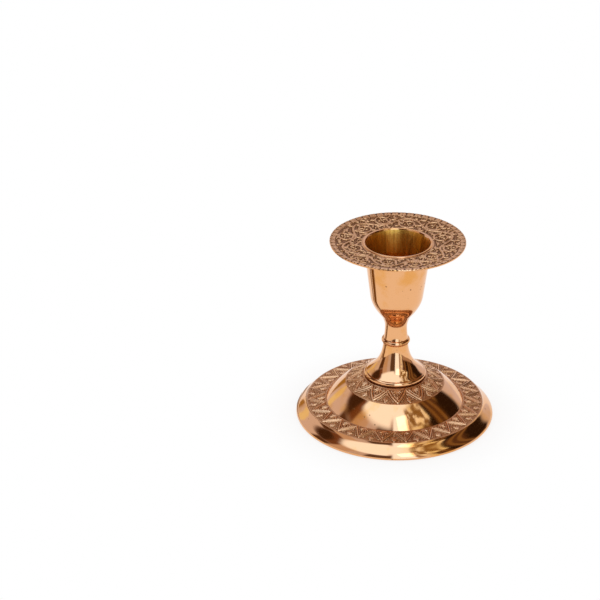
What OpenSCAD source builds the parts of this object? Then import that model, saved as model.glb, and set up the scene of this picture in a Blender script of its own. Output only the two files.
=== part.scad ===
// Low brass candle stand: a turned foot, stem, candle cup and drip pan, held by one tie rod.
// Millimetres. The axis of the stand is Z and the foot rests on Z = 0.

/* [Foot] */
// Diameter of the foot at its widest, just above the table
foot_d = 79.6; // [76:0.2:96]
// Radius that rounds the bottom edge of the foot
foot_edge_r = 0.8; // [0.5:0.1:2]
// Width of the flat ring that the foot rests on
rest_w = 2.2; // [1.2:0.1:4]
// Thickness of the foot's shell
foot_wall = 1.8; // [1.2:0.1:2.4]
// Height of the outer edge of the outer band
rim_h = 5.7; // [4.5:0.1:8]
// Outer diameter of the outer band
band_d = 71.2; // [66:0.2:73]
// Inner diameter of the outer band, at the crease where the roll starts
band_in_d = 55.2; // [50:0.1:60]
// Climb of the outer band from its outer edge to the crease
band_rise = 0.8; // [0:0.05:2]
// Height of the roll above the crease
roll_h = 7.6; // [5:0.05:10]
// Swell of the roll past a straight slope
roll_swell = 1.2; // [1:0.1:3.2]
// Outer diameter of the inner band, where the roll ends
top_band_d = 39.8; // [35:0.1:44]
// Climb of the inner band from the roll to the stem's seat
top_band_rise = 3.2; // [1:0.1:5]
// Diameter of the flat seat that the stem stands on
seat_d = 25.4; // [25.2:0.1:30]
// Diameter of the thick boss around the tie rod
boss_d = 20; // [14:0.5:22]
// Thickness of the boss
boss_t = 3.8; // [3.4:0.1:5]
// Width of the raised lines in both bands
line_w = 1; // [0.6:0.1:1.6]
// Height of the raised lines above the bands
line_h = 0.3; // [0.15:0.05:0.6]
// Plain margin between the raised lines and the edges of the bands
line_margin = 0.3; // [0.1:0.1:1]

/* [Stem] */
// Height of the stem from its seat to the joint in the bead
stem_h = 15.7; // [12:0.1:40]
// Diameter of the rolled edge at the stem's foot
stem_foot_d = 24.9; // [18:0.1:25.1]
// Radius of the rolled edge at the stem's foot
stem_roll_r = 1.15; // [0.8:0.05:1.6]
// Diameter of the stem just under the bead
waist_d = 10; // [9:0.1:11]
// Diameter of the bead
bead_d = 11.4; // [11.1:0.1:14]
// Height of the bead
bead_h = 2.3; // [1.8:0.1:3]

/* [Candle cup] */
// Height of the cup piece from the joint in the bead to the drip pan's seat
cup_h = 41.7; // [38:0.1:60]
// Height of the neck from the joint to the bottom of the bowl
neck_h = 10.9; // [9.5:0.1:14]
// Diameter of the neck where the bead ends
neck_d = 9.7; // [9.2:0.1:10.8]
// Diameter of the neck at its narrowest
neck_min_d = 8.8; // [8.5:0.1:9.2]
// Diameter of the cup where the bowl starts
bowl_d = 11.7; // [11:0.1:14]
// Height of the rounded bowl
bowl_h = 9.4; // [7:0.1:12]
// Thickness of the cup's wall just below the drip pan
cup_wall = 1.1; // [0.8:0.1:2]
// Thickness of the cup's wall at the bottom of the straight bore
bore_wall = 0.8; // [0.6:0.1:1.6]
// Diameter of the straight bore that takes the candle's end
candle_d = 21; // [16:0.1:21.6]
// Length of the straight bore
candle_l = 7; // [5:0.5:9]
// Height from the top of the bowl to the bottom of the straight bore
bore_up = 5.4; // [5:0.1:8]
// Depth of the dished floor under the straight bore
floor_h = 4.4; // [2:0.1:5]
// Diameter of the flat part of the socket's floor
floor_d = 14; // [8:0.5:15]
// Diameter of the opening at the cup's lip
mouth_d = 25.9; // [25:0.1:27]
// Depth of the bevel inside the lip
mouth_bevel = 1.1; // [0.5:0.1:2]
// Width of the bevel inside the lip
bevel_w = 0.5; // [0.2:0.05:1]
// Width of the lip that is rolled over the drip pan, from the opening outward
lip_w = 0.8; // [0.6:0.05:1.5]
// Height of the lip above the drip pan
lip_h = 0.25; // [0.15:0.05:0.5]
// Width of the shoulder that carries the drip pan
shoulder_w = 0.9; // [0.5:0.1:2]
// Height of the cove under the shoulder
cove_h = 1.6; // [1:0.1:3]

/* [Drip pan] */
// Diameter of the drip pan
pan_d = 53.5; // [44:0.5:60]
// Thickness of the drip pan
pan_t = 0.8; // [0.7:0.05:1.5]
// Rise of the drip pan's rim above its middle
pan_dish = 1.1; // [0.2:0.1:3]
// Width of the flat ring around the cup's lip
pan_flat_w = 1.5; // [1:0.1:3]
// Radius of the notches round the rim of the drip pan
notch_r = 0.55; // [0.3:0.05:0.8]
// Depth of the notches at the rim
notch_depth = 0.4; // [0.2:0.05:0.5]
// Length of the notches from the rim inward
notch_l = 2.2; // [1.2:0.1:4]

/* [Fastening] */
// Diameter of the tie rod's thread
rod_d = 5; // [4:0.5:5]
// Play around the tie rod in the foot and the stem
rod_play = 0.25; // [0.1:0.05:0.4]
// Length of the tie rod that is screwed into the neck
rod_grip = 11; // [8:0.5:14]
// Length of the tie rod below the nut
rod_tail = 1.4; // [0.5:0.1:3]
// Width of the nut across its flats
nut_w = 8; // [7:0.5:10]
// Height of the nut
nut_h = 4; // [3:0.1:5]
// Diameter of the washer
washer_d = 10; // [9:0.5:13]
// Thickness of the washer
washer_t = 1; // [0.6:0.1:1.5]
// Diameter of the stem's lower register, which centres it in the foot
foot_register_d = 10; // [8:0.5:11]
// Diameter of the stem's upper register, which centres the cup
cup_register_d = 7; // [6.6:0.1:7.4]
// Height of both registers
register_h = 1.5; // [1:0.1:2]
// Play of the registers and of the drip pan on the cup
seat_play = 0.05; // [0.02:0.01:0.1]

/* [Hidden] */
$fn = 180;

// Segments in each curve of an outline
STEPS = 16;
// Slack at the end of a register or a thread, so that the shoulders meet first
end_gap = 0.2;
// Fine bevel where the two halves of the bead meet
joint_bevel = 0.1;
// Overrun of cuts
over = 0.5;
// Zigzags round the outer and the inner band, and notches round the drip pan
ZIGZAGS = 23;
ARCHES = 12;
NOTCHES = 52;
// Angles of the first zigzag and the first arch
zigzag_turn = -84.75;
arch_turn = -89;
// Handles of the outline's curves, as shares of each curve's width and height
rim_shares = [[0, 0.3], [0.9, 0.72]];
// Handles of the roll: where each stands, as a share of the slope, and as a share of the swell
roll_shares = [[0.2, 1.5], [0.4, 1]];
trumpet_shares = [[0.23, 0.12], [0.96, 0.32]];
neck_shares = [[0.67, 0.29], [1, 0.68]];
throat_shares = [[0, 0.4], [0.55, 0.75]];
bowl_shares = [[0.41, 0.26], [0.905, 0.56]];
cove_shares = [[0.05, 0.6], [0.4, 1]];
floor_shares = [[0, 0.6], [0.4, 1]];
// Share of the foot's wall that a point of its inner side keeps from the skin, at least
fold_share = 0.99;

foot_r = foot_d / 2;
band_r = band_d / 2;
crease_r = band_in_d / 2;
top_band_r = top_band_d / 2;
seat_r = seat_d / 2;
crease_z = rim_h + band_rise;
top_band_z = crease_z + roll_h;
seat_z = top_band_z + top_band_rise;
rest_out_r = foot_r - foot_edge_r;
rest_in_r = rest_out_r - rest_w;
boss_z = seat_z - boss_t;

joint_z = seat_z + stem_h;
bead_edge_r = bead_h / 2;
bead_mid_r = bead_d / 2 - bead_edge_r;

neck_z = joint_z + bead_edge_r;
bowl_z = joint_z + neck_h;
cup_z = bowl_z + bowl_h;
bore_z = cup_z + bore_up;
bore_top_z = bore_z + candle_l;
pan_z = joint_z + cup_h;
lip_z = pan_z + pan_t + lip_h;
mouth_r = mouth_d / 2;
flare_z = pan_z - cove_h;
// The socket opens out in a straight taper from its bore to the bevel at the lip
flare_r = cup_wall + candle_d / 2 + (mouth_r - bevel_w - candle_d / 2)
    * (flare_z - bore_top_z) / (lip_z - mouth_bevel - bore_top_z);
// The cup's outside is one taper, set by the two walls and carried down to the bowl
bore_wall_r = candle_d / 2 + bore_wall;
cup_r = bore_wall_r - (flare_r - bore_wall_r) * bore_up / (flare_z - bore_z);
spigot_r = mouth_r + lip_w / 3;
shoulder_r = spigot_r + shoulder_w;
pan_hole_r = spigot_r + seat_play;
pan_flat_r = pan_hole_r + pan_flat_w;
pan_r = pan_d / 2;

rod_r = rod_d / 2;
rod_hole_r = rod_r + rod_play;
washer_z = boss_z - washer_t;
nut_z = washer_z - nut_h;
rod_z = nut_z - rod_tail;
rod_top_z = joint_z + rod_grip;

// Helpers for outlines: points are [radius, height]
function arc(mid, r, a0, a1, n = STEPS) =
    [for (i = [0:n]) let (a = a0 + (a1 - a0) * i / n) mid + r * [cos(a), sin(a)]];

// A curve from p to q whose two handles sit at shares of the step from p to q
function curve(p, q, shares) =
    let (d = q - p,
         h1 = p + [d[0] * shares[0][0], d[1] * shares[0][1]],
         h2 = p + [d[0] * shares[1][0], d[1] * shares[1][1]])
    [for (i = [0:STEPS]) let (t = i / STEPS, s = 1 - t)
        s * s * s * p + 3 * s * s * t * h1 + 3 * s * t * t * h2 + t * t * t * q];

// The curve from p to q that swells by b to the right of the step
function swell(p, q, b, shares) =
    let (d = q - p,
         side = [d[1], -d[0]] / norm(d),
         h1 = p + d * shares[0][0] + side * b * shares[0][1],
         h2 = p + d * shares[1][0] + side * b * shares[1][1])
    [for (i = [0:STEPS]) let (t = i / STEPS, s = 1 - t)
        s * s * s * p + 3 * s * s * t * h1 + 3 * s * t * t * h2 + t * t * t * q];

function unit(v) = v / norm(v);
function left_of(v) = [-v[1], v[0]];

// The same outline moved sideways by d, to the left of its run, with mitred corners
function inset(p, d) =
    let (last = len(p) - 1)
    [for (i = [0:last])
        let (n1 = left_of(unit(p[max(i, 1)] - p[max(i, 1) - 1])),
             n2 = left_of(unit(p[min(i + 1, last)] - p[min(i, last - 1)])),
             m = unit(n1 + n2))
        p[i] + m * d / (m * n1)];

// The distance from a point to the nearest step of an outline
function gap(point, p) =
    min([for (i = [1:len(p) - 1])
        let (step = p[i] - p[i - 1],
             t = max(0, min(1, (point - p[i - 1]) * step / (step * step))))
        norm(point - p[i - 1] - t * step)]);

function tail(p) = [for (i = [1:len(p) - 1]) p[i]];
function reversed(p) = [for (i = [len(p) - 1:-1:0]) p[i]];

// The foot's outer skin, from its widest line up to the stem's seat
foot_skin = concat(
    curve([foot_r, foot_edge_r], [band_r, rim_h], rim_shares),
    swell([crease_r, crease_z], [top_band_r, top_band_z], roll_swell, roll_shares),
    [[seat_r, seat_z]]);

// The point at radius r, angle a and height z
function at(r, a, z) = [r * cos(a), r * sin(a), z];

module turned(outline) rotate_extrude() polygon(outline);

// A raised line with a roof-shaped section, sunk into the band by its own height
module raised_line(from, to) {
    step = to - from;
    translate(from)
        rotate([0, -asin(step[2] / norm(step)), atan2(step[1], step[0])])
            rotate([90, 0, 90]) linear_extrude(norm(step))
                polygon([[-line_w, -line_h], [line_w, -line_h], [0, line_h]]);
}

// A zigzag of n waves round a band, from its outer edge to its inner edge and back
module zigzag(n, turn, outer, inner) {
    slope = (inner - outer) / norm(inner - outer);
    inset = line_margin + line_w / 2;
    low = outer + slope * inset;
    high = inner - slope * inset;
    for (i = [0:n - 1]) {
        a = turn + 360 * i / n;
        top = at(high[0], a + 180 / n, high[1]);
        raised_line(at(low[0], a, low[1]), top);
        raised_line(at(low[0], a + 360 / n, low[1]), top);
    }
}

module foot() {
    // The shell's inner side: where the moved outline would fold over itself it is left out
    hollow = [for (p = inset(foot_skin, foot_wall))
        if (p[0] < rest_in_r && gap(p, foot_skin) > foot_wall * fold_share) p];
    color("peru") {
        zigzag(ZIGZAGS, zigzag_turn, [band_r, rim_h], [crease_r, crease_z]);
        zigzag(ARCHES, arch_turn, [top_band_r, top_band_z], [seat_r, seat_z]);
        turned(concat(
            arc([rest_out_r, foot_edge_r], foot_edge_r, -90, 0),
            tail(foot_skin),
            [[foot_register_d / 2 + seat_play, seat_z],
             [foot_register_d / 2 + seat_play, seat_z - register_h - end_gap],
             [rod_hole_r, seat_z - register_h - end_gap],
             [rod_hole_r, boss_z],
             [boss_d / 2, boss_z],
             [boss_d / 2, seat_z - foot_wall]],
            reversed(hollow),
            [[rest_in_r, 0]]));
    }
}

module stem() {
    roll_mid = [stem_foot_d / 2 - stem_roll_r, seat_z + stem_roll_r * sin(60)];
    bead_start = acos((waist_d / 2 - bead_mid_r) / bead_edge_r);
    waist_z = joint_z - bead_edge_r * sin(bead_start);
    color("sandybrown") turned(concat(
        [[rod_hole_r, seat_z - register_h],
         [foot_register_d / 2, seat_z - register_h],
         [foot_register_d / 2, seat_z]],
        arc(roll_mid, stem_roll_r, -60, 80),
        tail(curve(roll_mid + stem_roll_r * [cos(80), sin(80)], [waist_d / 2, waist_z],
                   trumpet_shares)),
        tail(arc([bead_mid_r, joint_z], bead_edge_r, -bead_start,
                 -asin(joint_bevel / bead_edge_r))),
        [[bead_d / 2 - joint_bevel, joint_z],
         [cup_register_d / 2, joint_z],
         [cup_register_d / 2, joint_z + register_h],
         [rod_hole_r, joint_z + register_h]]));
}

module candle_cup() {
    bead_end = acos((neck_d / 2 - bead_mid_r) / bead_edge_r);
    neck_start = [neck_d / 2, joint_z + bead_edge_r * sin(bead_end)];
    neck_low = [neck_min_d / 2, (neck_start[1] + bowl_z) / 2];
    color("goldenrod") turned(concat(
        [[cup_register_d / 2 + seat_play, joint_z],
         [bead_d / 2 - joint_bevel, joint_z]],
        arc([bead_mid_r, joint_z], bead_edge_r, asin(joint_bevel / bead_edge_r), bead_end),
        tail(curve(neck_start, neck_low, neck_shares)),
        tail(curve(neck_low, [bowl_d / 2, bowl_z], throat_shares)),
        tail(curve([bowl_d / 2, bowl_z], [cup_r, cup_z], bowl_shares)),
        curve([flare_r, flare_z], [shoulder_r, pan_z], cove_shares),
        [[spigot_r, pan_z],
         [spigot_r, pan_z + pan_t],
         [mouth_r + lip_w, pan_z + pan_t]],
        arc([mouth_r + lip_w - lip_h, pan_z + pan_t], lip_h, 0, 90),
        [[mouth_r, lip_z],
         [mouth_r - bevel_w, lip_z - mouth_bevel],
         [candle_d / 2, bore_top_z],
         [candle_d / 2, bore_z]],
        tail(curve([candle_d / 2, bore_z], [floor_d / 2, bore_z - floor_h], floor_shares)),
        [[0, bore_z - floor_h],
         [0, rod_top_z + end_gap],
         [rod_r, rod_top_z + end_gap],
         [rod_r, joint_z + register_h + end_gap],
         [cup_register_d / 2 + seat_play, joint_z + register_h + end_gap]]));
}

module drip_pan() {
    edge_r = pan_t / 3;
    span = pan_r - edge_r - pan_flat_r;
    dish = [for (i = [0:STEPS / 2]) let (t = 2 * i / STEPS)
        [pan_flat_r + span * t, pan_dish * t * t]];
    top_z = pan_z + pan_dish + pan_t;
    // The slope of the dish at its rim, and of the notches, which run out at notch_l
    rim_slope = atan(2 * pan_dish / span);
    notch_slope = rim_slope - atan(notch_depth / notch_l);
    color("burlywood") difference() {
        turned(concat(
            [[pan_hole_r, pan_z]],
            [for (p = dish) [p[0], pan_z + p[1]]],
            tail(arc([pan_r - edge_r, pan_z + pan_dish + edge_r], edge_r, -90 + rim_slope, 0, 4)),
            arc([pan_r - edge_r, top_z - edge_r], edge_r, 0, 90, 4),
            [for (p = tail(reversed(dish))) [p[0], pan_z + pan_t + p[1]]],
            [[pan_hole_r, pan_z + pan_t]]));
        for (i = [0:NOTCHES - 1]) rotate(360 * (i + 1 / 2) / NOTCHES)
            translate([pan_r, 0, top_z + notch_r - notch_depth])
                rotate([0, 90 - notch_slope, 0])
                    cylinder(r = notch_r, h = 3 * notch_l, center = true);
    }
}

module tie_rod() {
    point = rod_d / 10;
    color("silver") turned([
        [0, rod_z], [rod_r - point, rod_z], [rod_r, rod_z + point],
        [rod_r, rod_top_z - point], [rod_r - point, rod_top_z], [0, rod_top_z]]);
}

module washer() {
    color("gainsboro") turned([
        [rod_hole_r, washer_z], [washer_d / 2, washer_z],
        [washer_d / 2, boss_z], [rod_hole_r, boss_z]]);
}

module nut() {
    corner_r = nut_w / 2 / cos(30);
    bevel = corner_r - nut_w / 2;
    color("darkgray") difference() {
        intersection() {
            translate([0, 0, nut_z]) cylinder(r = corner_r, h = nut_h, $fn = 6);
            turned([
                [0, nut_z], [nut_w / 2, nut_z], [corner_r, nut_z + bevel],
                [corner_r, washer_z - bevel], [nut_w / 2, washer_z], [0, washer_z]]);
        }
        translate([0, 0, nut_z - over]) cylinder(r = rod_r, h = nut_h + 2 * over);
    }
}

foot();
stem();
candle_cup();
drip_pan();
tie_rod();
washer();
nut();
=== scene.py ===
import math
import bpy
import numpy as np
from mathutils import Matrix


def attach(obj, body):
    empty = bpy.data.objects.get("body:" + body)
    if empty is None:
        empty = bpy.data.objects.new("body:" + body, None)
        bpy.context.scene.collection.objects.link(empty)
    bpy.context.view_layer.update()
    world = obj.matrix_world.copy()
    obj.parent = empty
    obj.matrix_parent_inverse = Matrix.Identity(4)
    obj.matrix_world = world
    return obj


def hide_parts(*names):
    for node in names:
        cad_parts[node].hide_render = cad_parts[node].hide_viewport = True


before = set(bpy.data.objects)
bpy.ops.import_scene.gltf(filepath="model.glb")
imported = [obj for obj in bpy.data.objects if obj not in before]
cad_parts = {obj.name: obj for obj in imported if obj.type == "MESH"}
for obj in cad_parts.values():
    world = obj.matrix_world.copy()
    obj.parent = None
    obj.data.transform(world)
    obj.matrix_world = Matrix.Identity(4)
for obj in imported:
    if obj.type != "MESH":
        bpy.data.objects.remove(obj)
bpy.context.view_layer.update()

# Camera
# It stands in front of the stand and a little to the left, and looks down on it by 27
# degrees through a long lens, as the photograph was taken.

CAMERA_PLACE, LOOK_DOWN, TILT = (-0.03827, -0.77912, 0.44173), 26.663, -0.069
camera_data = bpy.data.cameras.new("camera")
camera_data.lens = 132
camera_data.sensor_width = 36
camera_data.clip_start = 0.01
camera = bpy.data.objects.new("camera", camera_data)
bpy.context.collection.objects.link(camera)
camera.matrix_world = (Matrix.Translation(CAMERA_PLACE)
                       @ Matrix.Rotation(math.radians(90 - LOOK_DOWN), 4, "X")
                       @ Matrix.Rotation(math.radians(TILT), 4, "Z"))
bpy.context.scene.camera = camera
bpy.context.scene.view_settings.view_transform = "Standard"

# Studio
# A white paper sweep under and behind the stand, in a room with dark curtains at both sides
# and softboxes above and in front of it. Brass shows all of them. The ceiling and the tall
# softbox are cooler and brighter than white, and the brass was coloured in this light.


class Link:
    """A shader socket that can stand in a sum like a number."""

    def __init__(self, bench, socket):
        self.bench, self.socket = bench, socket

    def math(self, operation, *values):
        return self.bench.node("Math", {"operation": operation}, dict(enumerate(values)))

    def __add__(self, other): return self.math("ADD", self, other)
    def __radd__(self, other): return self.math("ADD", other, self)
    def __sub__(self, other): return self.math("SUBTRACT", self, other)
    def __rsub__(self, other): return self.math("SUBTRACT", other, self)
    def __mul__(self, other): return self.math("MULTIPLY", self, other)
    def __pow__(self, other): return self.math("POWER", self, other)

    def step(self, low, high, to_low=0.0, to_high=1.0):
        """A soft step: to_low where the value is low, to_high where it is high."""
        return self.bench.node("MapRange", {"interpolation_type": "SMOOTHSTEP"},
                               {0: self, 1: low, 2: high, 3: to_low, 4: to_high})


class Bench:
    """The nodes of one material or of the room, and the one way they are made."""

    def __init__(self, owner):
        owner.use_nodes = True
        self.tree = owner.node_tree
        self.tree.nodes.clear()

    def node(self, kind, settings=None, sockets=None, output=0):
        made = self.tree.nodes.new("ShaderNode" + kind)
        for name, value in (settings or {}).items():
            setattr(made, name, value)
        for name, value in (sockets or {}).items():
            if isinstance(value, Link):
                self.tree.links.new(value.socket, made.inputs[name])
            else:
                if hasattr(made.inputs[name].default_value, "__len__"):
                    value = (*value, 1)[:len(made.inputs[name].default_value)]
                made.inputs[name].default_value = value
        return Link(self, made.outputs[output]) if len(made.outputs) else None

    def blend(self, share, a, b):
        """Colour a where share is 0 and colour b where it is 1."""
        return self.node("Mix", {"data_type": "RGBA"}, {0: share, 6: a, 7: b}, 2)

    def axes(self, vector):
        split = self.node("SeparateXYZ", {}, {0: vector})
        return [Link(self, output) for output in split.socket.node.outputs]


room = bpy.data.worlds.new("room")
bpy.context.scene.world = room
bench = Bench(room)
x, y, z = bench.axes(bench.node("TexCoord", {}, {}, "Generated"))
turn = x.math("ARCTAN2", x, y) * (180 / math.pi)
rise = z.math("ARCSINE", z) * (180 / math.pi)


def panel(left, right, low, high, soft):
    """1 for a direction on a part of the room, 0 beside it. left and right are turns from the
    back to the right, low and high are rises over the horizon, soft is the width of the soft
    edge, all in degrees."""
    middle, half = (left + right) / 2, (right - left) / 2
    off = (turn - middle).math("PINGPONG", turn - middle, 180)
    across = off.step(half - soft / 2, half + soft / 2, 1.0, 0.0)
    up = rise.step(low - soft / 2, low + soft / 2) * rise.step(high - soft / 2, high + soft / 2, 1.0, 0.0)
    return across * up


crumple = bench.node("TexNoise", {"noise_dimensions": "3D"},
                     {"Vector": bench.node("TexCoord", {}, {}, "Generated"), "Scale": 9.0, "Detail": 3.0})
folds = crumple.step(0.43, 0.58)
pleats = (turn * 0.55).math("SINE", turn * 0.55).step(-0.3, 0.5)
walls = (0.66, 0.66, 0.80)
curtain = (0.11, 0.055, 0.024)
dark_fold = (0.025, 0.012, 0.005)
ceiling = (1.28, 1.65, 2.2)
parts = [
    # white paper behind the stand
    (panel(-75, 62, -91, 31, 9), (0.76, 0.76, 0.90)),
    # dark curtain on the right, with pleats, darker where it folds, and lighter low down
    (panel(56, 133, -91, 62, 8), curtain),
    (panel(58, 126, 12, 58, 8) * pleats, (0.24, 0.15, 0.055)),
    (panel(50, 78, 8, 38, 8), dark_fold),
    (panel(100, 110, 10, 56, 5), dark_fold),
    (panel(62, 128, -91, 8, 6), (0.46, 0.36, 0.30)),
    # dark room above the paper and curtain on the left
    (panel(8, 58, 33, 62, 8), (0.22, 0.11, 0.055)),
    (panel(258, 350, 32, 60, 9), (0.19, 0.085, 0.04)),
    (panel(276, 300, 32, 54, 8), (0.06, 0.028, 0.012)),
    (panel(260, 286, -91, 32, 7), curtain),
    # bright gap and golden strip at the paper's left edge
    (panel(312, 322, 3, 20, 4), (0.95, 0.95, 0.60)),
    (panel(328, 346, -91, 20, 5), (0.42, 0.26, 0.05)),
    # window frame on the left in front, and the room's warm corner beyond it
    (panel(183, 216, -91, 50, 8), (0.13, 0.085, 0.06)),
    (panel(236, 262, -91, 56, 6), (0.64, 0.54, 0.48)),
    # ceiling, lit from below in front and duller behind
    (panel(-1000, 1000, 62, 200, 10), (0.80, 0.84, 1.05)),
    (panel(18, 120, 60, 80, 8), (0.46, 0.29, 0.10)),
    (panel(120, 346, 58, 200, 12), ceiling),
    (panel(190, 268, 50, 200, 8), ceiling),
    # crumpled golden foil beside the tall softbox
    (panel(106, 152, 42, 66, 6), (0.30, 0.20, 0.07)),
    (panel(106, 152, 42, 66, 6) * folds, (1.15, 1.3, 1.3)),
    (panel(132, 152, -91, 46, 5) * folds, (1.05, 1.15, 1.0)),
    (panel(148, 159, -91, 56, 4), (0.44, 0.36, 0.30)),
    # tall softbox in front
    (panel(156, 184, -91, 62, 4), (1.25, 1.7, 2.4)),
]
seen = walls
for share, colour in parts:
    seen = bench.blend(share, seen, colour)
ray = bench.node("LightPath").socket.node.outputs
straight = Link(bench, ray["Is Camera Ray"]) + Link(bench, ray["Is Transmission Ray"])
plain = bench.blend(Link(bench, ray["Is Glossy Ray"]), (0.95, 0.95, 0.95), seen)
sky = bench.blend(straight.math("MINIMUM", straight, 1.0), plain, (1, 1, 1))
bench.node("OutputWorld", {}, {"Surface": bench.node("Background", {}, {"Color": sky, "Strength": 1.0})})


def lamp(name, place, width, height, watts, colour):
    """A softbox on a stand, turned to the candle stand."""
    data = bpy.data.lights.new(name, "AREA")
    data.shape, data.size, data.size_y = "RECTANGLE", width, height
    data.energy, data.color = watts, colour
    made = bpy.data.objects.new(name, data)
    bpy.context.collection.objects.link(made)
    made.location = place
    made.rotation_euler = (-made.location).to_track_quat("-Z", "Y").to_euler()


lamp("overhead_softbox", (-0.05, 0.05, 1.1), width=0.5, height=0.5, watts=0.5, colour=(1.0, 0.98, 0.95))
lamp("front_softbox", (0.22, -0.75, 0.95), width=0.30, height=0.45, watts=0.5, colour=(1.0, 1.0, 1.0))

# The paper: white, with the stand's soft shadow on it. To glossy rays alone it shows a brown
# strip at the left, a painted reflection in the brass. From below the paper can be seen through.
SIDE, FRONT, BACK = 0.9, -0.165, 1.2
paper = bpy.data.meshes.new("paper")
corners = [(-SIDE, FRONT, 0), (SIDE, FRONT, 0), (SIDE, BACK, 0), (-SIDE, BACK, 0)]
paper.from_pydata(corners, [], [(0, 1, 2, 3)])
floor = bpy.data.objects.new("paper", paper)
bpy.context.collection.objects.link(floor)
paper_white = bpy.data.materials.new("paper_white")
bench = Bench(paper_white)
ray = bench.node("LightPath").socket.node.outputs
shown = Link(bench, ray["Is Camera Ray"]) + Link(bench, ray["Is Glossy Ray"])
shown = shown + Link(bench, ray["Is Transmission Ray"])
x, y, z = bench.axes(bench.node("TexCoord", {}, {}, "Object"))
away = (x * x + y * y) ** 0.5
# it glows a little less round the foot, so that the shadow shows there
glow = shown.math("MINIMUM", shown, 1.0) * away.step(0.041, 0.060, 0.74, 1.0)
turn = x.math("ARCTAN2", x, y) * (180 / math.pi)
# painted reflection: a brown strip with a gap in it, which only glossy rays see
painted_reflection_strip = turn.step(-84, -79) * turn.step(-57, -53, 1.0, 0.0)
gap = turn.step(-66, -64) * turn.step(-62, -60, 1.0, 0.0)
painted_reflection_strip = painted_reflection_strip * (1 - gap) * Link(bench, ray["Is Glossy Ray"])
lit = bench.node("BsdfDiffuse", {}, {"Color": (0.95, 0.95, 0.95)})
seen = bench.blend(painted_reflection_strip, (1, 1, 1), (0.20, 0.105, 0.025))
white = bench.node("Emission", {}, {"Color": seen, "Strength": 1.0})
above = bench.node("MixShader", {}, {0: glow, 1: lit, 2: white})
under = bench.node("NewGeometry", {}, {}, "Backfacing")
clear = bench.node("BsdfTransparent")
bench.node("OutputMaterial", {}, {"Surface": bench.node("MixShader", {}, {0: under, 1: above, 2: clear})})
paper.materials.append(paper_white)

# Foot
# A low round foot, cast in brass as one shell and turned: a rounded rim, a sloping roll
# with a faint swell and a seat for the stem. It is buffed outside and left as cast
# underneath. The rod's nut pulls its boss up against the stem. The roll is straighter here
# than in the CAD, which lies up to 0.89 mm further out.

MM = 0.001
FOOT_R, EDGE_R, REST_W, WALL = 39.8, 0.8, 2.2, 1.8
BAND_R, RIM_Z = 35.6, 5.7
CREASE_R, CREASE_Z = 27.6, 6.5
TOP_R, TOP_Z = 19.9, 14.1
SEAT_R, SEAT_Z = 12.7, 17.3
BOSS_R, BOSS_Z = 10.0, 13.5
# the hole of the rod, and the recess in the seat for the stem's register
ROD_HOLE_R, RECESS_R, RECESS_H = 2.75, 5.05, 1.7
# how deep the bands are let into the foot
DEEP = 0.7


def arc(middle, r, start, end, steps=12):
    turns = np.radians(np.linspace(start, end, steps + 1))
    return np.array(middle) + r * np.column_stack([np.cos(turns), np.sin(turns)])


def bent(p, a, b, q, steps):
    """A smooth line from p to q that heads for the handle a and comes in from the handle b."""
    t = np.linspace(0, 1, steps + 1)[:, None]
    return (1 - t) ** 3 * p + 3 * (1 - t) ** 2 * t * a + 3 * (1 - t) * t * t * b + t ** 3 * q


def curve(p, q, first, second, steps=28):
    """A curve from p to q whose handles sit at shares of the step from p to q."""
    p, q = np.array(p, float), np.array(q, float)
    return bent(p, p + (q - p) * first, p + (q - p) * second, q, steps)


def swell(p, q, rise, first, second, steps=44):
    """A curve from p to q that swells out to the right of the step by shares of rise."""
    p, q = np.array(p, float), np.array(q, float)
    run = q - p
    side = np.array([run[1], -run[0]]) / np.linalg.norm(run) * rise
    return bent(p, p + run * first[0] + side * first[1], p + run * second[0] + side * second[1], q, steps)


def eased(outline, r=0.18, sharp=22):
    """The same closed outline with its sharp corners rounded, as a buffing wheel leaves them."""
    following = np.roll(outline, -1, axis=0)
    outline = np.array([p for p, q in zip(outline, following) if np.linalg.norm(p - q) > 1e-4])
    made = []
    for before, p, after in zip(np.roll(outline, 1, axis=0), outline, np.roll(outline, -1, axis=0)):
        a, b = before - p, after - p
        la, lb = np.linalg.norm(a), np.linalg.norm(b)
        bend = math.degrees(math.acos(max(-1.0, min(1.0, -(a @ b) / la / lb))))
        if bend < sharp or p[0] < 1e-6:
            made.append(p)
            continue
        back = min(r * math.tan(math.radians(bend) / 2), 0.45 * la, 0.45 * lb)
        start, end = p + a / la * back, p + b / lb * back
        t = np.linspace(0, 1, 5)[:, None]
        made.extend((1 - t) ** 2 * start + 2 * t * (1 - t) * p + t * t * end)
    return np.array(made)


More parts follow.
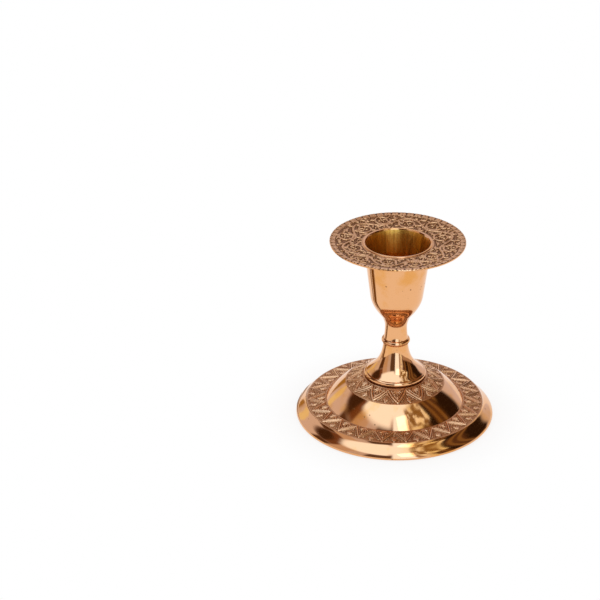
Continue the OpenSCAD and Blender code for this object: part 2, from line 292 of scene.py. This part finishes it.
def turned(name, outline, around, relief=None, finishes=(), finish_of=None):
    """A ring or solid turned from a closed outline in millimetres, with around points in each
    ring. relief, one row for each point of the outline, lifts the skin along its normal."""
    outline = np.asarray(outline, float)
    rows = len(outline)
    turns = np.linspace(0, 2 * math.pi, around, endpoint=False)
    r = np.repeat(outline[:, :1], around, axis=1)
    up = np.repeat(outline[:, 1:], around, axis=1)
    if relief is not None:
        run = np.roll(outline, -1, axis=0) - np.roll(outline, 1, axis=0)
        run /= np.linalg.norm(run, axis=1)[:, None]
        r = r + run[:, 1:] * relief
        up = up - run[:, :1] * relief
    points = np.stack([r * np.cos(turns), r * np.sin(turns), up], axis=-1).reshape(-1, 3) * MM
    i, j = np.meshgrid(np.arange(rows), np.arange(around), indexing="ij")
    i2, j2 = (i + 1) % rows, (j + 1) % around
    axis = outline[:, 0] < 1e-6
    at = lambda a, b: a * around + np.where(axis[a], 0, b)
    quads = np.stack([at(i, j), at(i, j2), at(i2, j2), at(i2, j)], axis=-1).reshape(-1, 4)
    row_of = i.reshape(-1)
    both = axis[row_of] & axis[(row_of + 1) % rows]
    quads, row_of = quads[~both], row_of[~both]
    faces = [tuple(dict.fromkeys(q)) for q in quads.tolist()]
    mesh = bpy.data.meshes.new(name)
    mesh.from_pydata(points.tolist(), [], faces)
    for finish in finishes:
        mesh.materials.append(finish)
    if finish_of is not None:
        mesh.polygons.foreach_set("material_index", np.array(finish_of)[row_of].astype(np.int32))
    mesh.validate()
    mesh.shade_smooth()
    mesh.set_sharp_from_angle(angle=math.radians(50))
    made = bpy.data.objects.new(name, mesh)
    bpy.context.collection.objects.link(made)
    return made


def fitted(piece, node):
    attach(piece, "root")
    if node:
        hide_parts(node)
    return piece


def metal_surface(bench, colour, roughness, bump_height, bump_size):
    """Joins colour, roughness and the height of the surface in metres to the metal shader."""
    normal = bench.node("Bump", {}, {"Strength": 1.0, "Distance": bump_size, "Height": bump_height})
    skin = bench.node("BsdfPrincipled", {}, {
        "Base Color": colour, "Roughness": roughness, "Metallic": 1.0, "Normal": normal})
    bench.node("OutputMaterial", {}, {"Surface": skin})


# Buffed brass: warm and rosy, with faint rings from the buffing wheel, a soft unevenness,
# small pits, and a light tarnish in clouds.
polished_brass = bpy.data.materials.new("polished_brass")
bench = Bench(polished_brass)
place = bench.node("TexCoord", {}, {}, "Object")
x, y, z = bench.axes(place)
across = (x * x + y * y) ** 0.5
about = x.math("ARCTAN2", y, x)
rings = bench.node("CombineXYZ", {}, {0: across * 9000, 1: about * 5, 2: z * 9000})
ring_marks = bench.node("TexNoise", {}, {"Vector": rings, "Scale": 1.0, "Detail": 3.0, "Roughness": 0.6})
clouds = bench.node("TexNoise", {}, {"Vector": place, "Scale": 75.0, "Detail": 5.0, "Roughness": 0.6})
waves = bench.node("TexNoise", {}, {"Vector": place, "Scale": 170.0, "Detail": 1.0, "Roughness": 0.4})
cells = bench.node("TexVoronoi", {"feature": "F1"}, {"Vector": place, "Scale": 420.0, "Randomness": 1.0})
sparse = bench.node("TexNoise", {}, {"Vector": place, "Scale": 260.0, "Detail": 1.0})
pit = cells.step(0.06, 0.19, 1.0, 0.0) * sparse.step(0.56, 0.62)
tarnish = clouds.step(0.48, 0.66)
colour = bench.blend(tarnish * 0.75, (0.83, 0.43, 0.20), (0.78, 0.345, 0.075))
colour = bench.blend(pit * 0.8, colour, (0.16, 0.06, 0.02))
roughness = 0.055 + tarnish * 0.04 + ring_marks * 0.03 + pit * 0.3
metal_surface(bench, colour, roughness, waves * 0.8 + ring_marks * 0.015 - pit * 0.25, 0.00002)

# Cast brass under the foot: duller, grainy from the sand mould, browned with age.
cast_brass = bpy.data.materials.new("cast_brass")
bench = Bench(cast_brass)
place = bench.node("TexCoord", {}, {}, "Object")
grain = bench.node("TexNoise", {}, {"Vector": place, "Scale": 1500.0, "Detail": 4.0, "Roughness": 0.6})
clouds = bench.node("TexNoise", {}, {"Vector": place, "Scale": 120.0, "Detail": 5.0, "Roughness": 0.6})
colour = bench.blend(clouds.step(0.35, 0.7), (0.50, 0.26, 0.11), (0.26, 0.13, 0.06))
metal_surface(bench, colour, 0.42 + grain * 0.2, grain, 0.00012)

rim = curve((FOOT_R, EDGE_R), (BAND_R, RIM_Z), (0, 0.3), (0.9, 0.72), 40)
roll = swell((CREASE_R, CREASE_Z), (TOP_R, TOP_Z), 0.3, (0.33, 1.33), (0.67, 1.33))
skin = np.vstack([rim, roll, [[SEAT_R, SEAT_Z]]])
run = np.gradient(skin, axis=0)
run /= np.linalg.norm(run, axis=1)[:, None]
inner = skin + np.column_stack([-run[:, 1], run[:, 0]]) * WALL
rest_in = FOOT_R - EDGE_R - REST_W
gap = np.array([np.linalg.norm(skin - p, axis=1).min() for p in inner])
inner = inner[(inner[:, 0] < rest_in) & (inner[:, 0] > BOSS_R + 0.5) & (gap > WALL * 0.97)]
outside = np.vstack([
    arc((FOOT_R - EDGE_R, EDGE_R), EDGE_R, -90, 0),
    rim,
    [[BAND_R, RIM_Z - DEEP], [CREASE_R, CREASE_Z - DEEP]],
    roll,
    [[TOP_R, TOP_Z - DEEP], [SEAT_R, SEAT_Z - DEEP], [SEAT_R, SEAT_Z]],
    [[RECESS_R, SEAT_Z], [RECESS_R, SEAT_Z - RECESS_H]]])
below = np.vstack([
    [[ROD_HOLE_R, SEAT_Z - RECESS_H], [ROD_HOLE_R, BOSS_Z], [BOSS_R, BOSS_Z], [BOSS_R, SEAT_Z - WALL]],
    inner[::-1],
    [[rest_in, 0]]])
outline = eased(np.vstack([outside, below]))
cast_ends = ((RECESS_R, SEAT_Z - RECESS_H), (rest_in, 0))
low_side = [int(np.argmin(np.linalg.norm(outline - p, axis=1))) for p in cast_ends]
parts = [1 if low_side[0] < k < low_side[1] else 0 for k in range(len(outline))]
fitted(turned("turned_foot", outline, 360, finishes=[polished_brass, cast_brass], finish_of=parts),
       "foot")

# Chased bands
# The two bands of the foot: raised zigzag lines with small leaves and dots between them,
# worked with punches into the brass. Their ground is dark with age, their ridges are rubbed
# bright. Each is a ring that lies flush in the foot.


class Chasing:
    """The worked face of a ring: heights in millimetres, by row of the outline and turn."""

    def __init__(self, outline, around, first=0, hollow=0.28):
        self.around, self.rows, self.first, self.hollow = around, len(outline), first, hollow
        turns = np.linspace(0, 2 * math.pi, around, endpoint=False)
        self.r = np.asarray(outline)[:, 0]
        self.x, self.y = self.r[:, None] * np.cos(turns), self.r[:, None] * np.sin(turns)
        self.height = np.zeros((self.rows, around))
        self.groove = np.zeros((self.rows, around))

    def stroke(self, points, widths, height, flat=1.0):
        """A raised line through points, as wide at each as widths says, round on top, with
        the hollow that the punch leaves on both its sides."""
        points = np.asarray(points, float)
        widths = np.broadcast_to(np.asarray(widths, float), len(points))
        for a, b, wa, wb in zip(points[:-1], points[1:], widths[:-1], widths[1:]):
            reach = max(wa, wb) + self.hollow
            r0 = min(np.hypot(*a), np.hypot(*b)) - reach
            r1 = max(np.hypot(*a), np.hypot(*b)) + reach
            rows = np.nonzero((self.r >= r0 - 0.3) & (self.r <= r1 + 0.1))[0]
            if not len(rows):
                continue
            middle = math.atan2(*((a + b) / 2)[::-1])
            half = (np.linalg.norm(b - a) / 2 + reach) / max(min(np.hypot(*a), np.hypot(*b)), 1) * 1.1
            first = int((middle - half) / (2 * math.pi) * self.around) - 1
            last = int((middle + half) / (2 * math.pi) * self.around) + 2
            columns = np.arange(first, last) % self.around
            spot = np.ix_(rows, columns)
            px, py = self.x[spot] - a[0], self.y[spot] - a[1]
            d = b - a
            t = np.clip((px * d[0] + py * d[1]) / max(d @ d, 1e-9), 0, 1)
            wide = np.maximum(wa + (wb - wa) * t, 1e-3)
            off = np.hypot(px - t * d[0], py - t * d[1])
            lift = height * np.sqrt(np.clip(1 - (off / wide) ** 2, 0, 1)) ** flat
            self.height[spot] = np.maximum(self.height[spot], lift)
            sink = np.clip(1 - np.clip(off - wide, 0, None) / self.hollow, 0, 1)
            self.groove[spot] = np.maximum(self.groove[spot], sink)

    def dot(self, point, size, height):
        self.stroke([point, np.asarray(point) + 1e-4], size, height)

    def free(self, point, reach):
        """Whether nothing is worked yet within reach of a point."""
        row = int(np.argmin(np.abs(self.r[self.first:] - np.hypot(*point)))) + self.first
        column = int(round(math.atan2(point[1], point[0]) / (2 * math.pi) * self.around))
        rows = slice(max(row - reach, 0), row + reach + 1)
        columns = np.arange(column - reach, column + reach + 1) % self.around
        return self.height[rows][:, columns].max() < 0.02

    def relief(self, depth):
        """The heights with the hollows beside the ridges cut to depth."""
        return np.where(self.height > 0.015, self.height, -depth * self.groove)

    def leaf(self, foot, heading, length, bend, width, height):
        """A small leaf like a comma: thin at its foot, full near its tip."""
        t = np.linspace(0, 1, 7)
        way = heading + bend * t
        steps = np.column_stack([np.cos(way), np.sin(way)]) * length / 6
        points = np.asarray(foot) + np.vstack([[0, 0], np.cumsum(steps[:-1], axis=0)])
        self.stroke(points, width * (0.30 + 0.70 * np.sin(math.pi * t ** 0.8 * 0.82)), height)


def polar(r, turn):
    return np.array([r * math.cos(turn), r * math.sin(turn)])


RIDGE_H = 0.26  # a ridge as high as this is rubbed as bright as it gets


def worn(piece, height, low, top):
    """Writes how high each point stands: 0 in a hollow, 0.3 on the ground, 1 on a ridge."""
    level = np.where(height < 0, 0.3 + 0.3 * height / low, 0.3 + 0.7 * height / top)
    mark = piece.data.attributes.new("raised", "FLOAT", "POINT")
    mark.data.foreach_set("value", np.clip(level, 0, 1).astype(np.float32).reshape(-1))


def chased_brass(name, ground, dull, hollow, ridge, shine):
    """Chased brass: dark in the hollows, a dull ground, and ridges rubbed bright."""
    made = bpy.data.materials.new(name)
    bench = Bench(made)
    place = bench.node("TexCoord", {}, {}, "Object")
    raised = bench.node("Attribute", {"attribute_name": "raised"}, {}, "Fac")
    clouds = bench.node("TexNoise", {}, {"Vector": place, "Scale": 160.0, "Detail": 4.0, "Roughness": 0.6})
    grain = bench.node("TexNoise", {}, {"Vector": place, "Scale": 2600.0, "Detail": 3.0, "Roughness": 0.6})
    level = raised + (clouds - 0.5) * 0.3 + (grain - 0.5) * 0.2
    bare = level.step(0.34, 0.86)
    colour = bench.blend(clouds.step(0.3, 0.7), ground, dull)
    colour = bench.blend(level.step(0.02, 0.28, 1.0, 0.0), colour, hollow)
    colour = bench.blend(bare, colour, ridge)
    metal_surface(bench, colour, 0.44 - bare * shine + grain * 0.08, grain * 0.6 + clouds * 0.4, 0.00005)
    return made


engraved_brass = chased_brass("engraved_brass", ground=(0.60, 0.28, 0.110), dull=(0.46, 0.20, 0.080),
                              hollow=(0.20, 0.078, 0.028), ridge=(0.88, 0.50, 0.25), shine=0.18)


def band(name, outer, inner, rows, around, waves, first, line, bow):
    """A band with waves zigzags from its outer to its inner edge, the first at the turn first.
    line scales the width of its lines, and bow is how far they bend out, in millimetres."""
    outer, inner = np.array(outer, float), np.array(inner, float)
    top = np.linspace(outer, inner, rows)
    low = np.array([0, DEEP - 0.05])
    outline = np.vstack([top, [inner - low, outer - low]])
    work = Chasing(outline, around)
    slope = (inner - outer) / np.linalg.norm(inner - outer)
    margin = 0.8
    r_low, r_high = (outer + slope * margin)[0], (inner - slope * margin)[0]
    reach = abs(r_high - r_low)
    half = math.pi / waves
    rng = np.random.default_rng(7)
    t = np.linspace(0, 1, 7)[:, None]

    def line_between(a, b, side, shift, start, end, width, height):
        """One line of the zigzag, or one beside it, moved sideways by shift."""
        across = np.array([-(b - a)[1], (b - a)[0]]) / np.linalg.norm(b - a) * side
        share = start + (end - start) * t
        off = shift + bow * 4 * share * (1 - share)
        work.stroke(a + (b - a) * share + across * off, width, height, 0.8)

    for k in range(waves):
        turn = first + 2 * half * k
        tip, left, right = polar(r_high, turn + half), polar(r_low, turn), polar(r_low, turn + 2 * half)
        for end, side in ((left, -1), (right, 1)):
            wave = rng.uniform(0.9, 1.1)
            line_between(end, tip, side, 0, 0, 1, 0.34 * line * wave, 0.32)
            line_between(end, tip, side, -0.80 * line, 0.10, 0.86, 0.19 * line, 0.22)
            line_between(end, tip, side, 0.72 * line, 0.16, 0.92, 0.16 * line, 0.18)
        # a fan of leaves with a dot, under the zigzag and, turned round, between two of them
        for middle, r_foot, way in ((turn + half, r_low, math.pi), (turn, r_high, 0.0)):
            inward = -1 if way else 1
            foot = polar(r_foot - inward * 0.25, middle)
            for spread in (-0.75, -0.36, 0.0, 0.36, 0.75):
                size = reach * (0.46 - 0.20 * abs(spread)) * rng.uniform(0.88, 1.12)
                start = foot + polar(0.34 * line * spread, middle + math.pi / 2)
                work.leaf(start, middle + way + spread * 0.8, size, 0.5 * spread, 0.27 * line, 0.26)
            work.dot(polar(r_foot + inward * 0.60 * reach, middle), 0.30 * line, 0.27)
            for side in (-1, 1):
                spot = polar(r_foot + inward * 0.12 * reach, middle + side * half * 0.62)
                work.dot(spot, 0.24 * line, 0.22)
    # punch marks wherever the ground is still bare
    for _ in range(int(60 * waves * line)):
        r = rng.uniform(min(r_high, r_low) + 0.2, max(r_high, r_low) - 0.2)
        spot = polar(r, rng.uniform(0, 2 * math.pi))
        if work.free(spot, 2):
            heading, length, bend = rng.uniform(0, 2 * math.pi), rng.uniform(0.35, 0.7), rng.uniform(-1, 1)
            work.leaf(spot, heading, length, bend, 0.15, 0.13)
    # a plain margin along both edges, level with the foot and rubbed half bright
    edge = np.minimum(np.linalg.norm(outline - outer, axis=1), np.linalg.norm(outline - inner, axis=1))
    plain = np.clip((edge - 0.35) / 0.25, 0, 1)
    plain[rows:] = 0
    hollow, edge_height, roughness = 0.10, 0.10, 0.008
    height = (work.relief(hollow) + rng.random(work.height.shape) * roughness) * plain[:, None]
    piece = turned(name, outline, around, height, [engraved_brass])
    worn(piece, np.where(plain[:, None] < 0.5, edge_height, height), hollow, RIDGE_H)
    return fitted(piece, None)


band("outer_band", (BAND_R, RIM_Z), (CREASE_R, CREASE_Z), rows=58, around=1600, waves=23,
     first=math.radians(-84.75), line=1.0, bow=0.12)
band("inner_band", (TOP_R, TOP_Z), (SEAT_R, SEAT_Z), rows=60, around=1100, waves=12,
     first=math.radians(-89), line=1.25, bow=0.45)

# Stem
# A hollow trumpet turned from brass bar, with a small rolled edge on the foot and the lower
# half of a bead on top. A register at each end centres it. Under its edge it is painted dark as shade.

ROLL_R, STEM_R, WAIST_R = 1.15, 12.45, 5.0
BEAD_R, BEAD_H = 5.7, 2.3
JOINT_Z, SEAM_R = SEAT_Z + 15.7, BEAD_R - 0.1
REGISTER_R, TOP_REGISTER_R, REGISTER_H = 5.0, 3.5, 1.5
# the painted shade under the rolled edge: beyond this radius and up to this height over the seat
PAINTED_SHADE_R, PAINTED_SHADE_H = 5.5, 0.75
bead_edge = BEAD_H / 2
bead_mid = BEAD_R - bead_edge
roll_mid = np.array([STEM_R - ROLL_R, SEAT_Z + ROLL_R * math.sin(math.radians(60))])
roll_top = roll_mid + ROLL_R * np.array([math.cos(math.radians(80)), math.sin(math.radians(80))])
start = math.degrees(math.acos((WAIST_R - bead_mid) / bead_edge))
waist = (WAIST_R, JOINT_Z - bead_edge * math.sin(math.radians(start)))
outline = eased(np.vstack([
    [[ROD_HOLE_R, SEAT_Z - REGISTER_H], [REGISTER_R, SEAT_Z - REGISTER_H], [REGISTER_R, SEAT_Z]],
    arc(roll_mid, ROLL_R, -60, 80, 16),
    curve(roll_top, waist, (0.23, 0.12), (0.96, 0.32), 44)[1:],
    arc((bead_mid, JOINT_Z), bead_edge, -start, -5, 12)[1:],
    [[SEAM_R, JOINT_Z], [TOP_REGISTER_R, JOINT_Z]],
    [[TOP_REGISTER_R, JOINT_Z + REGISTER_H], [ROD_HOLE_R, JOINT_Z + REGISTER_H]]]), 0.12)
# painted shade: under its rolled edge the stem takes the dark chased finish
parts = [1 if r > PAINTED_SHADE_R and z < SEAT_Z + PAINTED_SHADE_H else 0 for r, z in outline]
fitted(turned("turned_stem", outline, 300, finishes=[polished_brass, engraved_brass], finish_of=parts),
       "stem")

# Candle cup
# Neck, bowl and socket are turned in one piece from brass and screwed on the rod. The socket
# is bored, and its lip is rolled outward over the drip pan to hold it.

NECK_R, NECK_MIN_R, BOWL_R = 4.85, 4.4, 5.85
BOWL_Z, CUP_Z, BORE_Z = JOINT_Z + 10.9, JOINT_Z + 20.3, JOINT_Z + 25.7
BORE_R, BORE_TOP = 10.5, BORE_Z + 7
FLOOR_R, FLOOR_Z = 7, BORE_Z - 4.4
ROD_R, ROD_TOP, NECK_RECESS_R = 2.5, JOINT_Z + 11.2, 3.55
PAN_Z, PAN_T, LIP_H = JOINT_Z + 41.7, 0.8, 0.25
MOUTH_R, BEVEL_W, BEVEL_H, LIP_W = 12.95, 0.5, 1.1, 0.8
LIP_Z = PAN_Z + PAN_T + LIP_H
FLARE_Z = PAN_Z - 1.6
# the outside is straight from CUP_Z, which is BELOW_BORE under the bore, up to FLARE_Z
BORE_WALL, FLARE_WALL, BELOW_BORE = 0.8, 1.1, 5.4
opening = (MOUTH_R - BEVEL_W - BORE_R) * (FLARE_Z - BORE_TOP) / (LIP_Z - BEVEL_H - BORE_TOP)
FLARE_R = FLARE_WALL + BORE_R + opening
CUP_R = BORE_R + BORE_WALL - (FLARE_R - BORE_R - BORE_WALL) * BELOW_BORE / (FLARE_Z - BORE_Z)
SPIGOT_R = MOUTH_R + LIP_W / 3
SHOULDER_R = SPIGOT_R + 0.9

# The bored inside: olive-gold brass, with upright streaks of painted reflection in its colour
# and fine rings from the boring tool.
bore_brass = bpy.data.materials.new("bore_brass")
bench = Bench(bore_brass)
place = bench.node("TexCoord", {}, {}, "Object")
x, y, z = bench.axes(place)
about = x.math("ARCTAN2", y, x)
rings = bench.node("CombineXYZ", {}, {0: about * 3, 1: z * 14000, 2: 0.0})
tool = bench.node("TexNoise", {}, {"Vector": rings, "Scale": 1.0, "Detail": 3.0, "Roughness": 0.7})
streak_space = bench.node("CombineXYZ", {}, {0: about * 4, 1: z * 25, 2: 0.0})
reflection_streaks_and_blotches = bench.node("TexNoise", {}, {"Vector": streak_space, "Scale": 1.0, "Detail": 4.0, "Roughness": 0.65})
blotches = bench.node("TexNoise", {}, {"Vector": place, "Scale": 260.0, "Detail": 4.0})
# painted reflection streaks on its wall, and blotches on its floor
wall = ((x * x + y * y) ** 0.5).step(0.0085, 0.0102)
reflection_streaks_and_blotches = reflection_streaks_and_blotches * wall + blotches * (1 - wall)
colour = bench.blend(reflection_streaks_and_blotches.step(0.40, 0.60), (0.84, 0.43, 0.075), (0.50, 0.235, 0.035))
metal_surface(bench, colour, 0.22 + reflection_streaks_and_blotches * 0.16, tool + reflection_streaks_and_blotches * 0.5, 0.00004)

# the bevel is bright down to here
worn_edge = [MOUTH_R - 0.45 * BEVEL_W, LIP_Z - 0.45 * BEVEL_H]
end = math.degrees(math.acos((NECK_R - bead_mid) / bead_edge))
neck = np.array([NECK_R, JOINT_Z + bead_edge * math.sin(math.radians(end))])
narrow = (NECK_MIN_R, (neck[1] + BOWL_Z) / 2)
outside = np.vstack([
    [[NECK_RECESS_R, JOINT_Z], [SEAM_R, JOINT_Z]],
    arc((bead_mid, JOINT_Z), bead_edge, 5, end, 12),
    curve(neck, narrow, (0.67, 0.29), (1, 0.68), 14)[1:],
    curve(narrow, (BOWL_R, BOWL_Z), (0, 0.4), (0.55, 0.75), 16)[1:],
    curve((BOWL_R, BOWL_Z), (CUP_R, CUP_Z), (0.41, 0.26), (0.905, 0.56), 40)[1:],
    np.linspace((CUP_R, CUP_Z), (FLARE_R, FLARE_Z), 12)[1:-1],
    curve((FLARE_R, FLARE_Z), (SHOULDER_R, PAN_Z), (0.05, 0.6), (0.4, 1), 14),
    [[SPIGOT_R, PAN_Z], [SPIGOT_R, PAN_Z + PAN_T], [MOUTH_R + LIP_W, PAN_Z + PAN_T]],
    arc((MOUTH_R + LIP_W - LIP_H, PAN_Z + PAN_T), LIP_H, 0, 90, 8),
    [[MOUTH_R, LIP_Z], worn_edge, [MOUTH_R - BEVEL_W, LIP_Z - BEVEL_H]]])
inside = np.vstack([
    np.linspace((MOUTH_R - BEVEL_W, LIP_Z - BEVEL_H), (BORE_R, BORE_TOP), 8)[1:],
    [[BORE_R, BORE_Z]],
    curve((BORE_R, BORE_Z), (FLOOR_R, FLOOR_Z), (0, 0.6), (0.4, 1), 16)[1:],
    [[0, FLOOR_Z]]])
rod_hole = [[0, ROD_TOP], [ROD_R, ROD_TOP], [ROD_R, JOINT_Z + RECESS_H], [NECK_RECESS_R, JOINT_Z + RECESS_H]]
outline = eased(np.vstack([outside, inside, rod_hole]), 0.15, 16)
lip = int(np.argmin(np.linalg.norm(outline - worn_edge, axis=1)))
parts = [1 if k >= lip else 0 for k in range(len(outline))]
fitted(turned("turned_cup", outline, 300, finishes=[polished_brass, bore_brass], finish_of=parts),
       "candle_cup")

# Drip pan
# A thin dished disc of cast brass. Its face is chased all over with a running leaf scroll,
# and a row of short notches is filed round its rim. The cup's lip holds it.

PAN_R, HOLE_R, DISH, NOTCHES = 26.75, SPIGOT_R + 0.05, 1.1, 52
FLAT_R, PAN_EDGE = HOLE_R + 1.5, PAN_T / 3
SPAN = PAN_R - PAN_EDGE - FLAT_R


def dished(r):
    return DISH * (np.clip(r - FLAT_R, 0, None) / SPAN) ** 2


low = np.linspace(HOLE_R, PAN_R - PAN_EDGE, 16)
face = np.linspace(PAN_R - PAN_EDGE, HOLE_R, 76)
top_z = PAN_Z + PAN_T + DISH
outline = np.vstack([
    np.column_stack([low, PAN_Z + dished(low)]),
    arc((PAN_R - PAN_EDGE, PAN_Z + DISH + PAN_EDGE), PAN_EDGE, -70, 0, 3),
    arc((PAN_R - PAN_EDGE, top_z - PAN_EDGE), PAN_EDGE, 0, 70, 4),
    np.column_stack([face, PAN_Z + PAN_T + dished(face)])])
first_face = len(outline) - len(face)
work = Chasing(outline, 960, first_face, 0.40)
rng = np.random.default_rng(11)
# the scroll, the ground it is sunk into, and how deep that is
R_IN, R_OUT = 14.9, 24.4
GROUND_IN, GROUND_OUT = 14.3, R_OUT + 0.3
SUNK, HOLLOW, ROUGHNESS = 0.10, 0.12, 0.006
R_MID = (R_IN + R_OUT) / 2
SCROLLS = 6
SWAY = 2.7


def vine(turn):
    return R_MID + SWAY * math.sin(SCROLLS * turn)


for k in range(SCROLLS * 16):
    a, b = 2 * math.pi * k / (SCROLLS * 16), 2 * math.pi * (k + 1) / (SCROLLS * 16)
    work.stroke([polar(vine(a), a), polar(vine(b), b)], 0.52, 0.28)
for k in range(SCROLLS * 2):
    # in each bay of the vine a curl runs round a flower
    turn = (math.pi / 2 + math.pi * k) / SCROLLS
    spin = 1 if k % 2 == 0 else -1
    middle = polar(R_MID - spin * 1.6, turn)
    t = np.linspace(0, 1, 22)
    ways = turn + math.pi * (0.5 + k % 2) + spin * t * 2 * math.pi * 1.02 + rng.uniform(-0.25, 0.25)
    sizes = (3.5 - 1.5 * t) * rng.uniform(0.92, 1.05)
    points = middle + np.column_stack([np.cos(ways), np.sin(ways)]) * sizes[:, None]
    work.stroke(points, 0.52 - 0.12 * t, 0.28)
    for step in range(2, 19, 4):
        work.leaf(points[step], ways[step] + spin * 0.8, rng.uniform(1.5, 2.1), -spin, 0.46, 0.26)
    work.dot(middle, 0.42, 0.34)
    for petal in range(4):
        way = turn + 2 * math.pi * petal / 4 + 0.4
        work.leaf(middle + polar(0.55, way), way, 1.0, 0.9 * spin, 0.34, 0.30)
for k in range(SCROLLS * 8):
    # leaves off the vine, to both sides
    turn = 2 * math.pi * (k + 0.5) / (SCROLLS * 8)
    foot = polar(vine(turn), turn)
    heading = turn + math.pi / 2 - math.atan(SWAY * SCROLLS * math.cos(SCROLLS * turn) / R_MID)
    side = 1 if k % 2 else -1
    work.leaf(foot, heading + side * 0.8, rng.uniform(2.0, 3.0), side * 1.3, 0.48, 0.27)
for size, reach in ((3.0, 6), (2.2, 5), (1.5, 4)):
    # curled leaves wherever the ground is still bare, large ones first
    for _ in range(2200):
        spot = polar(rng.uniform(R_IN, R_OUT), rng.uniform(0, 2 * math.pi))
        if work.free(spot, reach):
            bend = rng.choice([-1, 1]) * rng.uniform(1.2, 2.6)
            heading, length = rng.uniform(0, 2 * math.pi), size * rng.uniform(0.8, 1.1)
            work.leaf(spot, heading, length, bend, 0.38 + size * 0.06, 0.26)
for _ in range(500):
    spot = polar(rng.uniform(R_IN, R_OUT), rng.uniform(0, 2 * math.pi))
    if work.free(spot, 2):
        work.dot(spot, 0.28, 0.16)
height = work.relief(HOLLOW) + rng.random(work.height.shape) * ROUGHNESS - SUNK
worked = (np.arange(len(outline)) >= first_face) & (outline[:, 0] < GROUND_OUT) & (outline[:, 0] > GROUND_IN)
height[~worked] = 0
# the notches: each cuts into the rim and runs out inward, with a nick between two of them
turns = np.linspace(0, 2 * math.pi, work.around, endpoint=False)
on_top = np.arange(len(outline)) >= first_face - 5


def cuts(count, shift, width, depth, length):
    off = np.abs((turns * count / (2 * math.pi) + shift) % 1 - 0.5) / count * 2 * math.pi * PAN_R
    run = np.clip((outline[:, 0] - (PAN_R - length)) / length, 0, 1)
    narrow = width * (0.35 + 0.65 * run)[:, None]
    shallow = np.where(outline[:, 0] > PAN_R - 1.2 * PAN_EDGE, 0.35, 1.0)
    return np.clip(1 - off[None, :] / narrow, 0, 1) ** 0.7 * (depth * run ** 0.6 * on_top * shallow)[:, None]


cut = np.maximum(cuts(NOTCHES, shift=0, width=0.60, depth=0.30, length=2.2),
                 cuts(NOTCHES, shift=0.5, width=0.34, depth=0.16, length=1.5))
height = height - cut
# as worn sees it: the plain rings are rubbed bright, the cuts are dark, the underside is dull
shown = np.where(worked[:, None], height + SUNK, 0.24) - 2.6 * cut
shown = np.where(on_top[:, None], shown, 0.08)
pan_brass = chased_brass("pan_brass", ground=(0.40, 0.18, 0.07), dull=(0.30, 0.13, 0.048),
                         hollow=(0.10, 0.036, 0.010), ridge=(0.78, 0.43, 0.20), shine=0.12)
# the edge itself is rubbed bright
parts = [1 if len(low) <= k < first_face - 2 else 0 for k in range(len(outline))]
piece = turned("chased_pan", outline, work.around, height, [pan_brass, polished_brass], parts)
worn(piece, shown, HOLLOW, RIDGE_H)
fitted(piece, "drip_pan")

# Rod, washer and nut
# A steel rod, whose 5 mm thread isn't cut here, is screwed into the neck. Its nut and washer
# under the foot pull the whole stand together. All three are the CAD's own pieces, zinc-plated,
# and show only from below.

zinc_steel = bpy.data.materials.new("zinc_steel")
bench = Bench(zinc_steel)
place = bench.node("TexCoord", {}, {}, "Object")
spangle = bench.node("TexNoise", {}, {"Vector": place, "Scale": 900.0, "Detail": 3.0, "Roughness": 0.6})
dull = bench.node("TexNoise", {}, {"Vector": place, "Scale": 250.0, "Detail": 4.0})
colour = bench.blend(dull.step(0.35, 0.7), (0.46, 0.46, 0.44), (0.30, 0.30, 0.29))
metal_surface(bench, colour, 0.34 + spangle * 0.2, spangle, 0.00003)
for node in ("tie_rod", "washer", "nut"):
    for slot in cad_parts[node].material_slots:
        slot.material = zinc_steel
